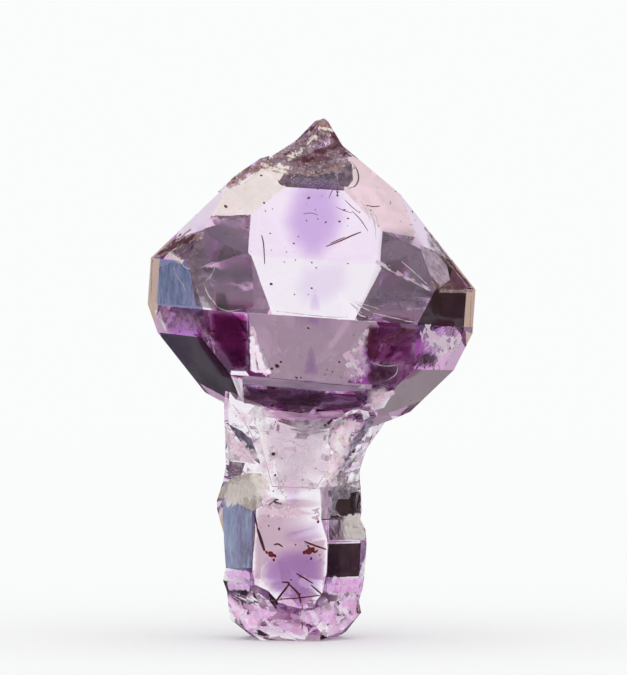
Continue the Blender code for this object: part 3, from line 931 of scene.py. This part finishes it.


# Thin sheets inside the crystal: some are healed cracks and cloudy growth, and others paint light and shade
# seen through the crystal, as noted at each. Each has its two colours, how much of it shows where it is thin
# and thick, the size of its patches in millimetres, how much finer they are across and up (less than 1 draws
# them out), its depth in millimetres, over how many pixels it thins out towards its edge, and its outline in
# pixels. Their pieces' names start with veil_and_painted_light.
SHEETS = [
    # blue_panel: a painted blue reflection on the head's left panel
    ("blue_panel", (120, 168, 190), (116, 120, 176), (0.1, 0.65), 0.45, (1.0, 0.45), 0.12, 0.0, [(159, 268),
     (172, 262), (186, 266), (196, 298), (190, 306), (160, 304)]),
    ("left_seam", (164, 138, 152), (138, 112, 130), (0.6, 0.95), 0.5, (1.0, 1.0), 0.1, 0.0, [(189, 256),
     (200, 262), (214, 290), (214, 309), (196, 306), (192, 284)]),
    ("left_top", (158, 130, 146), (122, 92, 112), (0.5, 0.95), 0.6, (1.0, 1.0), 0.1, 6.0, [(163, 253),
     (180, 238), (206, 232), (208, 262), (190, 264), (172, 260)]),
    ("left_low", (196, 160, 186), (138, 100, 130), (0.3, 0.85), 0.6, (1.0, 1.0), 0.15, 6.0, [(157, 307),
     (206, 310), (208, 334), (166, 333), (158, 322)]),
    ("left_grey", (134, 116, 132), (150, 128, 146), (0.2, 0.5), 1.6, (1.0, 1.0), 0.25, 14.0, [(214, 210),
     (246, 214), (244, 236), (268, 300), (262, 306), (212, 306), (200, 280), (214, 250), (206, 232)]),
    ("right_grey", (134, 124, 140), (156, 138, 156), (0.3, 0.65), 1.6, (1.0, 1.0), 0.25, 12.0, [(379, 226),
     (414, 226), (428, 250), (432, 288), (422, 311), (352, 312), (364, 294), (376, 262)]),
    # band_left and band_right: painted shade that carries the dark band under the tip out to its ends
    ("band_left", (156, 112, 134), (104, 66, 88), (0.9, 1.0), 0.35, (1.0, 1.0), 0.05, 0.0, [(279, 181),
     (284, 174), (291, 171), (291, 186), (283, 185)]),
    ("band_right", (156, 122, 146), (116, 88, 110), (0.85, 1.0), 0.35, (1.0, 1.0), 0.05, 0.0, [(337, 169),
     (348, 161), (352, 164), (353, 180), (348, 187), (339, 186)]),
    ("right_wedge", (255, 236, 250), (216, 192, 210), (0.85, 1.0), 0.5, (1.0, 1.0), 0.12, 0.0, [(419, 245),
     (436, 251), (447, 266), (450, 280), (440, 288), (430, 274)]),
    ("right_haze", (206, 192, 200), (156, 138, 146), (0.3, 0.9), 0.3, (1.0, 0.5), 0.1, 4.0, [(424, 230),
     (436, 233), (457, 261), (453, 272), (440, 260), (428, 247)]),
    ("right_low", (148, 126, 148), (120, 96, 120), (0.45, 0.85), 0.5, (1.0, 1.0), 0.2, 4.0, [(364, 299),
     (384, 289), (424, 294), (432, 288), (426, 312), (372, 313)]),
    # band_mid: painted shade in the middle of the dark band under the tip
    ("band_mid", (176, 158, 176), (92, 74, 92), (0.15, 0.7), 0.14, (1.0, 1.0), 0.05, 0.0, [(291, 172),
     (300, 174), (318, 176), (337, 170), (338, 186), (291, 186)]),
    ("neck_top", (244, 234, 240), (240, 226, 238), (0.4, 0.85), 0.8, (1.0, 1.0), 0.3, 5.0, [(286, 419),
     (336, 416), (339, 434), (322, 440), (296, 432)]),
    ("wedge_low", (214, 178, 172), (150, 116, 108), (0.7, 1.0), 0.25, (1.0, 1.0), 0.1, 4.0, [(430, 276),
     (440, 284), (452, 278), (458, 290), (430, 291)]),
    ("under_right", (255, 240, 250), (255, 214, 234), (0.5, 1.0), 0.4, (1.0, 1.0), 0.12, 6.0, [(367, 388),
     (384, 384), (392, 391), (384, 406), (372, 419), (366, 404)]),
    # block_edge: a painted sparkle along the edge of the right block
    ("block_edge", (255, 244, 253), (244, 198, 234), (0.35, 1.0), 0.28, (1.0, 1.0), 0.12, 5.0, [(366, 324),
     (368, 332), (363, 346), (370, 360), (371, 372), (362, 380), (353, 384), (342, 377), (345, 357),
     (354, 341)]),
    # block_dark and block_low: painted shade in the mirrored right block
    ("block_dark", (122, 50, 84), (92, 34, 62), (0.85, 1.0), 0.5, (1.0, 1.0), 0.12, 3.0, [(367, 323),
     (381, 324), (381, 357), (372, 367), (365, 364), (363, 346)]),
    ("block_low", (120, 74, 104), (84, 46, 72), (0.75, 1.0), 0.4, (1.0, 1.0), 0.12, 3.0, [(368, 362),
     (400, 363), (398, 378), (374, 385), (364, 384), (366, 372)]),
    ("pale_band", (206, 182, 206), (190, 164, 192), (0.75, 1.0), 0.6, (0.3, 1.0), 0.08, 0.0, [(243, 378),
     (366, 386), (366, 391), (322, 391), (243, 384)]),
    ("neck_patch", (186, 154, 176), (120, 96, 112), (0.5, 0.95), 0.25, (1.0, 0.3), 0.08, 0.0, [(229, 461),
     (245, 463), (241, 476), (228, 477)]),
    ("neck_spike", (156, 142, 172), (104, 90, 116), (0.85, 1.0), 0.4, (1.0, 0.5), 0.1, 0.0, [(228, 424),
     (242, 431), (252, 440), (261, 465), (254, 460), (243, 446)]),
    ("neck_left", (255, 238, 246), (244, 208, 228), (0.3, 0.9), 0.7, (1.0, 1.0), 0.2, 0.0, [(225, 428),
     (243, 448), (256, 464), (244, 462), (229, 460)]),
    ("neck_window", (240, 240, 242), (250, 240, 250), (0.0, 0.3), 1.4, (1.0, 1.0), 0.5, 12.0, [(276, 420),
     (334, 418), (326, 446), (316, 462), (300, 484), (284, 482), (276, 452)]),
    # cream_left: painted cream light at the bottom left of the neck
    ("cream_left", (255, 250, 232), (240, 222, 212), (0.75, 1.0), 0.7, (1.0, 1.0), 0.1, 0.0, [(218, 498),
     (221, 488), (230, 479), (248, 473), (262, 474), (264, 490), (262, 506), (253, 511), (240, 505),
     (229, 499)]),
    ("lilac_right", (255, 232, 250), (232, 200, 228), (0.8, 1.0), 0.5, (1.0, 1.0), 0.1, 0.0, [(320, 487),
     (332, 486), (332, 500), (330, 519), (322, 519)]),
    # blue_stem: a painted blue reflection on the stem's left side
    ("blue_stem", (214, 240, 255), (204, 208, 244), (0.1, 0.8), 0.7, (1.0, 0.35), 0.12, 0.0, [(220, 500),
     (238, 504), (252, 511), (252, 568), (227, 568), (224, 530)]),
    # grey_right, mauve_right, cream_right and black_right: painted light and shade, the grey, cream and black
    # panels on the stem's right side
    ("grey_right", (214, 204, 214), (150, 134, 150), (0.6, 1.0), 0.4, (1.0, 1.0), 0.1, 0.0, [(328, 488),
     (345, 484), (357, 488), (358, 493), (351, 494), (349, 499), (338, 499), (335, 508), (340, 515),
     (328, 516)]),
    ("mauve_right", (176, 146, 168), (112, 90, 104), (0.6, 1.0), 0.3, (1.0, 0.6), 0.1, 0.0, [(329, 518),
     (344, 517), (342, 530), (345, 540), (329, 540)]),
    ("cream_right", (255, 253, 250), (228, 216, 210), (0.7, 1.0), 0.4, (1.0, 1.0), 0.1, 0.0, [(344, 516),
     (356, 515), (364, 524), (364, 540), (345, 540), (342, 530)]),
    ("black_right", (96, 78, 82), (58, 42, 46), (0.8, 1.0), 0.4, (1.0, 0.5), 0.06, 0.0, [(350, 493),
     (361, 491), (363, 503), (361, 513), (351, 513)]),
    ("neck_stripe", (186, 174, 200), (140, 126, 150), (0.5, 0.9), 0.4, (1.0, 0.5), 0.08, 0.0, [(370, 416),
     (374, 423), (352, 452), (338, 478), (332, 475), (348, 446)]),
    ("stem_tongue", (255, 240, 244), (252, 226, 236), (0.15, 0.7), 0.6, (1.0, 1.0), 0.1, 6.0, [(258, 508),
     (276, 500), (302, 506), (304, 516), (284, 520), (262, 524)]),
    ("sliver", (255, 250, 255), (255, 222, 246), (0.9, 1.0), 0.5, (1.0, 0.5), 0.15, 0.0, [(250, 324),
     (256, 337), (264, 356), (272, 374), (250, 371)]),
    ("purple_band", (112, 66, 98), (70, 36, 60), (0.5, 0.95), 0.5, (0.25, 1.0), 0.1, 0.0, [(244, 388),
     (300, 391), (362, 395), (361, 407), (330, 410), (290, 409), (262, 406), (244, 403)]),
    ("sliver_low", (255, 252, 255), (248, 230, 244), (0.7, 1.0), 0.5, (1.0, 0.5), 0.3, 0.0, [(231, 376),
     (238, 379), (245, 405), (238, 394)]),
    ("pink_band", (255, 214, 244), (236, 176, 226), (0.5, 1.0), 0.4, (0.3, 1.0), 0.08, 0.0, [(260, 408),
     (300, 413), (342, 410), (346, 417), (300, 421), (264, 417)]),
    ("panel_right", (255, 240, 250), (246, 204, 234), (0.05, 0.6), 0.32, (1.0, 0.45), 0.15, 6.0,
     [(420, 330), (464, 328), (452, 352), (436, 366), (418, 362)]),
    ("panel_dark", (140, 108, 128), (92, 68, 84), (0.75, 1.0), 0.4, (1.0, 0.6), 0.1, 5.0, [(414, 354),
     (428, 350), (440, 355), (436, 368), (414, 368)]),
]

# Bright flakes where the crystal is crackled, whose near-white colours paint its sparkle: outline, number,
# sizes and depths in millimetres, colours
CRACKLES = [
    ("crackle_neck_right", [(331, 433), (352, 424), (360, 430), (352, 458), (334, 484), (322, 470),
     (329, 450)], 64, (0.12, 0.5), (0.1, 1.0), (255, 250, 252), (255, 216, 234)),
    ("crackle_neck_left", [(246, 408), (262, 412), (275, 440), (272, 474), (262, 467), (257, 440)], 26,
     (0.25, 0.8), (0.1, 1.0), (255, 252, 254), (255, 222, 238)),
    ("crackle_neck_low", [(258, 470), (276, 470), (300, 480), (330, 486), (300, 496), (262, 500)], 22,
     (0.15, 0.5), (0.1, 1.0), (255, 254, 255), (250, 224, 238)),
    ("crackle_panel_right", [(422, 330), (464, 326), (458, 350), (444, 368), (420, 366)], 24, (0.1, 0.3),
     (0.1, 1.0), (255, 246, 252), (250, 206, 234)),
    ("crackle_block_right", [(345, 352), (352, 338), (366, 330), (366, 354), (371, 372), (352, 382)], 20,
     (0.1, 0.25), (0.1, 1.0), (255, 240, 250), (226, 164, 212)),
]
CRACKLE_SEED = 31

# Near-white ribbons along cracks, which paint the glints that the cracks catch: pixels along each, width in
# pixels at its middle
GLINTING_CRACKS = [
    ([(204, 283), (206, 290), (209.5, 297), (214, 302), (217, 307)], 1.5),
    ([(217, 262), (211, 263), (205, 266), (200, 268)], 0.7),
    ([(215, 266), (212, 274), (206, 281)], 0.7),
    ([(181.5, 261), (183.5, 266), (188, 268.5), (191, 269)], 1.1),
    ([(173, 267), (177, 276), (183, 285), (186, 292)], 0.6),
    ([(217, 307), (228, 311), (242, 309)], 0.6),
    ([(401, 261), (414, 272), (431, 288)], 1.1),
    ([(381.5, 267), (404, 277), (431, 292)], 0.8),
    ([(352, 300), (366, 305), (380, 309)], 0.6),
    ([(167, 248), (169, 254), (166, 259)], 1.0),
    ([(366, 205), (371, 213), (375, 226), (376, 240)], 1.3),
    ([(360, 200), (366, 209), (370, 222)], 0.9),
    ([(371, 209), (377, 219), (379, 229)], 0.9),
    ([(305, 179), (308, 180.5), (311, 180)], 1.4),
    ([(335, 178), (339, 178.5), (343, 177)], 1.2),
    ([(316, 169), (320, 168), (324, 168.5)], 1.0),
    ([(283, 442), (292, 441), (300, 446), (306, 447)], 1.3),
    ([(276, 470), (281, 478), (279, 486), (284, 496)], 1.6),
    ([(262, 470), (266, 482), (262, 494), (256, 506)], 1.0),
    ([(292, 478), (298, 486), (310, 487), (326, 490)], 0.7),
    ([(330, 508), (340, 516), (352, 518), (362, 524)], 0.9),
    ([(232, 404), (240, 414), (248, 428), (258, 446)], 1.2),
    ([(352, 440), (342, 458), (332, 478)], 1.2),
    ([(424, 350), (434, 342), (444, 336)], 1.2),
    ([(430, 356), (440, 346), (450, 336)], 1.5),
    ([(438, 362), (446, 350), (452, 340)], 1.8),
    ([(444, 364), (452, 352), (458, 338)], 2.2),
    ([(450, 357), (456, 347), (461, 335)], 1.6),
    ([(422, 342), (432, 336), (440, 331)], 1.0),
    ([(434, 351), (440, 341), (446, 331)], 0.9),
    ([(442, 357), (450, 345), (455, 333)], 1.2),
    ([(350, 303), (356, 308), (362, 313)], 1.8),
    ([(354, 302), (362, 307), (372, 312)], 1.3),
    ([(372, 313), (390, 317), (404, 320)], 1.0),
    ([(404, 320.5), (409, 321.5), (414, 322)], 0.9),
    ([(356, 309), (360, 315), (366, 317)], 1.4),
    ([(370, 362), (384, 366), (398, 365)], 0.8),
    ([(398, 366), (396, 374), (388, 380)], 0.8),
]

# Fine dark lines along edges and cracks, in the same way, which paint the thin shade along facet and panel
# edges
EDGE_SHADE_LINES = [
    ([(278, 180), (281, 184), (290, 186.5), (300, 186)], 1.9),
    ([(352, 162), (357, 170), (358.5, 179), (355, 186), (348, 188.5)], 1.5),
    ([(338.5, 185), (337, 190), (338, 197)], 1.6),
    ([(335, 187), (331, 193), (329, 199)], 0.8),
    ([(253, 512), (255, 524), (254, 545), (251, 568), (250, 590)], 0.7),
    ([(328, 516), (327.5, 545), (327.5, 575), (326, 596)], 0.6),
    ([(277, 311), (300, 314), (330, 317), (348, 317)], 0.5),
    ([(329, 541), (345, 541.5), (363, 541)], 0.6),
    ([(248.6, 315), (248.9, 344), (249.6, 373)], 1.8),
    ([(244, 375), (280, 379), (330, 384), (364, 387)], 0.6),
]


# Between which levels of its noise a sheet goes from one colour to the other, and from thin to thick
SHEET_PATCHES = (0.40, 0.60)
SHEET_THIN = (0.34, 0.60)
SHEET_SPACING = 4.0


def sheet_material(name, first, second, amounts, size, stretch):
    """Cloudy quartz, and for many sheets painted light and shade: two colours in soft patches, thinning out
    here and there.
    """
    material, nodes, shader = new_material(name)
    across, up = stretch
    place = nodes.stretched(nodes.place(), across, 1.0, up)
    patches = nodes.fade(nodes.noise(place, size * MM, 4.0, 0.6), *SHEET_PATCHES)
    nodes.put(nodes.mix(patches, first, second), shader.inputs["Base Color"])
    thin = nodes.noise(nodes.stretched(place, 1.3, 1.3, 1.3), size * 1.7 * MM, 3.0, 0.6)
    edge = nodes.level("edge")
    amount = nodes.fade(thin, *SHEET_THIN, *amounts)
    nodes.put(nodes.math("MULTIPLY", amount, edge), shader.inputs["Alpha"])
    set_inputs(shader, Roughness=0.7, Specular_IOR_Level=0.0)
    return material


def add_sheets():
    for name, first, second, amounts, size, stretch, depth, soft, outline in SHEETS:
        name = "veil_and_painted_light_" + name
        points, faces = filled(outline, SHEET_SPACING)
        shape = bmesh.new()
        spots = [within(x, y, depth) for x, y in points]
        corners = [shape.verts.new(spot) if spot is not None else None for spot in spots]
        levels = [
            min(1.0, to_rim(outline, *point) / soft) if soft > 0.0 else 1.0
            for point, spot in zip(points, spots)
            if spot is not None
        ]
        for face in faces:
            around = [corners[i] for i in face]
            if None not in around:
                shape.faces.new(around)
        material = sheet_material(name, srgb(*first), srgb(*second), amounts, size, stretch)
        piece = new_piece(name, shape, material, smooth=True)
        colour_corners(piece.data, "edge", levels)


def sparkle_flake_material(name, first, second):
    """A cleavage flake in near white, a painted sparkle: each one is painted a little differently."""
    material, nodes, shader = new_material(name)
    tone = nodes.level("tone")
    nodes.put(nodes.mix(tone, first, second), shader.inputs["Base Color"])
    set_inputs(shader, Roughness=0.35, Alpha=0.5)
    return material


def flake(shape, centre, sizes, chance):
    """Adds a flat flake that leans its own way towards the front, and returns how many corners it has."""
    normal = (Vector([chance.gauss(0.0, 0.6) for axis in range(3)]) - FORWARD).normalized()
    side = normal.cross(any_vector(chance)).normalized()
    top = normal.cross(side)
    size = 0.5 * chance.uniform(*sizes) * MM
    sides = chance.choice((3, 4, 5))
    long = chance.uniform(1.0, 2.2)
    first_turn = chance.uniform(0.0, 6.3)
    corners = []
    for k in range(sides):
        turn = first_turn + (k + chance.uniform(-0.25, 0.25)) * 2.0 * math.pi / sides
        reach = size * chance.uniform(0.6, 1.1)
        way = long * math.cos(turn) * side + math.sin(turn) * top
        corners.append(shape.verts.new(centre + reach * way))
    shape.faces.new(corners)
    return sides


def add_crackles():
    """Small flat flakes at every angle, between the pixels of each outline."""
    chance = random.Random(CRACKLE_SEED)
    for name, outline, number, sizes, depths, first, second in CRACKLES:
        shape = bmesh.new()
        shades = []
        across, down = limits(outline)
        made = 0
        while made < number:
            x = chance.uniform(*across)
            y = chance.uniform(*down)
            if not covers(outline, x, y):
                continue
            made += 1
            centre = within(x, y, chance.uniform(*depths))
            if centre is not None:
                sides = flake(shape, centre, sizes, chance)
                shades += [chance.random() ** 1.6] * sides
        piece = new_piece(name, shape, sparkle_flake_material(name, srgb(*first), srgb(*second)))
        colour_corners(piece.data, "tone", shades)


def line_material(name, shade):
    """A narrow ribbon along cracks and edges, which breaks off here and there: near white it paints glints,
    dark it paints shade.
    """
    material, nodes, shader = new_material(name)
    set_inputs(shader, Base_Color=(*shade, 1.0), Roughness=0.3)
    breaks = nodes.fade(nodes.noise(nodes.place(), 0.35e-3, 2.0), 0.32, 0.5, 0.35, 1.0)
    nodes.put(breaks, shader.inputs["Alpha"])
    return material


# How deep cracks and dark lines lie, in millimetres
LINE_DEPTH = 0.06


def add_lines(name, lines, material):
    """Narrow ribbons just under the surface."""
    shape = bmesh.new()
    for corners, width in lines:
        path = smooth_path(corners, 5)
        rows = []
        for i, (x, y) in enumerate(path):
            x0, y0 = path[max(i - 1, 0)]
            x1, y1 = path[min(i + 1, len(path) - 1)]
            length = math.hypot(x1 - x0, y1 - y0)
            half = 0.5 * width * (0.25 + 0.75 * math.sin(math.pi * i / (len(path) - 1)))
            across = (-(y1 - y0) / length * half, (x1 - x0) / length * half)
            pair = [within(x + way * across[0], y + way * across[1], LINE_DEPTH) for way in (-1, 1)]
            rows.append([shape.verts.new(spot) for spot in pair] if None not in pair else None)
        for near, far in zip(rows, rows[1:]):
            if near is not None and far is not None:
                shape.faces.new((near[0], near[1], far[1], far[0]))
    new_piece(name, shape, material)


add_camera()
add_world()
add_floor()
set_look()
crystal.data.materials.clear()
crystal.data.materials.append(quartz_material())
add_zones()
add_flecks()
add_needles()
add_sheets()
add_crackles()
# near-white ribbons that paint the glints of the cracks
add_lines("cracks_with_painted_glints", GLINTING_CRACKS, line_material("painted_crack_glint", srgb(255, 248, 252)))
# dark ribbons that paint thin shade along edges
add_lines("painted_edge_shade_lines", EDGE_SHADE_LINES, line_material("painted_edge_shade", srgb(84, 40, 48)))
